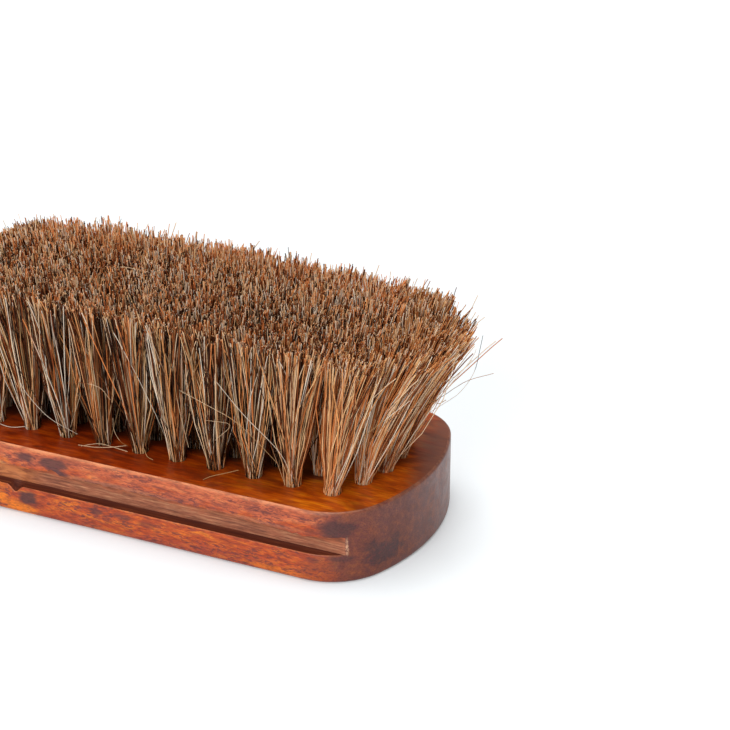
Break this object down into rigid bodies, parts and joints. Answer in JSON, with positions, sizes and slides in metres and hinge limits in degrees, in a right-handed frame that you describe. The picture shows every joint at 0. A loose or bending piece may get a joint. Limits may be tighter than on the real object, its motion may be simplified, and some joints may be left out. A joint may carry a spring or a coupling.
{
  "type": "shoe shine brush",
  "caption": "Small hand brush: a stained wooden block with bowed ends, a finger groove along each long side, and rows of flared horsehair tufts held by wire anchors.",
  "frame": {"origin": "middle of the back of the block, on the surface that the brush lies on", "axes": "+X along the block, +Y across it, +Z out through the bristles"},
  "size_m": [0.1316, 0.054, 0.047],
  "materials": {
    "stained_wood": "satin",
    "horsehair": "matte",
    "anchor_wire": "satin"
  },
  "bodies": {
    "root": {"block": "stained_wood", "tuft_column_01": "horsehair", "tuft_column_02": "horsehair", "tuft_column_03": "horsehair", "tuft_column_04": "horsehair", "tuft_column_05": "horsehair", "tuft_column_06": "horsehair", "tuft_column_07": "horsehair", "tuft_column_08": "horsehair", "tuft_column_09": "horsehair", "tuft_column_10": "horsehair", "tuft_column_11": "horsehair", "anchor_column_01": "anchor_wire", "anchor_column_02": "anchor_wire", "anchor_column_03": "anchor_wire", "anchor_column_04": "anchor_wire", "anchor_column_05": "anchor_wire", "anchor_column_06": "anchor_wire", "anchor_column_07": "anchor_wire", "anchor_column_08": "anchor_wire", "anchor_column_09": "anchor_wire", "anchor_column_10": "anchor_wire", "anchor_column_11": "anchor_wire"}
  },
  "joints": []
}
